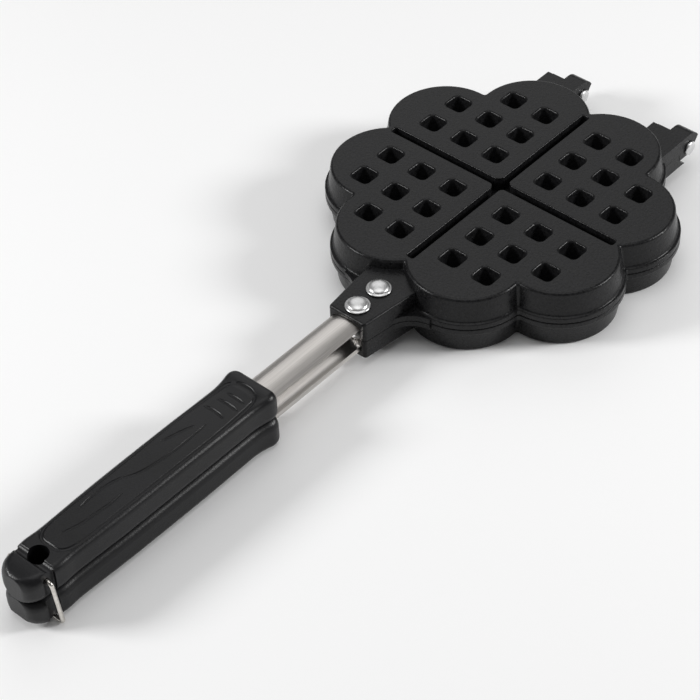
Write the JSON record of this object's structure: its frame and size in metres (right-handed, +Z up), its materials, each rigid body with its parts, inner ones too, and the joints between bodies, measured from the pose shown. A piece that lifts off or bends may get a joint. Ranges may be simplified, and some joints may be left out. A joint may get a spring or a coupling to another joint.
{
  "type": "stovetop waffle iron",
  "caption": "Hinged stovetop waffle iron with lobed heart plates, long split handle, riveted strips and a wire bail latch.",
  "frame": {"origin": "centre of the bounding box at the height of the surface the lower plate stands on", "axes": "+X from the handle ends to the hinges, +Y to the left seen from the handles, +Z up"},
  "size_m": [0.3866, 0.1536, 0.0288],
  "materials": {
    "coated_aluminium": "dark grey non-stick coating on cast aluminium, satin",
    "stainless_strip": "brushed stainless steel",
    "bright_steel": "bright polished steel",
    "black_phenolic": "moulded black phenolic, satin",
    "brass_insert": "plain turned brass"
  },
  "bodies": {
    "lower_half": {"lower_plate": "coated_aluminium", "lower_handle_strip": "stainless_strip", "lower_grip": "black_phenolic", "lower_neck_rivet_1": "bright_steel", "lower_neck_rivet_2": "bright_steel", "lower_grip_screw_1": "bright_steel", "lower_grip_screw_2": "bright_steel", "lower_grip_insert_1": "brass_insert", "lower_grip_insert_2": "brass_insert", "left_hinge_pin": "bright_steel", "right_hinge_pin": "bright_steel"},
    "upper_half": {"upper_plate": "coated_aluminium", "upper_handle_strip": "stainless_strip", "upper_grip": "black_phenolic", "upper_neck_rivet_1": "bright_steel", "upper_neck_rivet_2": "bright_steel", "upper_grip_screw_1": "bright_steel", "upper_grip_screw_2": "bright_steel", "upper_grip_insert_1": "brass_insert", "upper_grip_insert_2": "brass_insert"},
    "bail": {"wire_bail": "bright_steel"}
  },
  "joints": [
    {"name": "plate_hinge", "type": "hinge", "parent": "lower_half", "child": "upper_half", "pos_m": [0.18666, 0, 0.0144], "axis": [0, 1, 0], "range_deg": [0, 180]},
    {"name": "bail_pivot", "type": "hinge", "parent": "upper_half", "child": "bail", "pos_m": [-0.18434, 0, 0.0236], "axis": [0, 1, 0], "range_deg": [0, 240]}
  ]
}
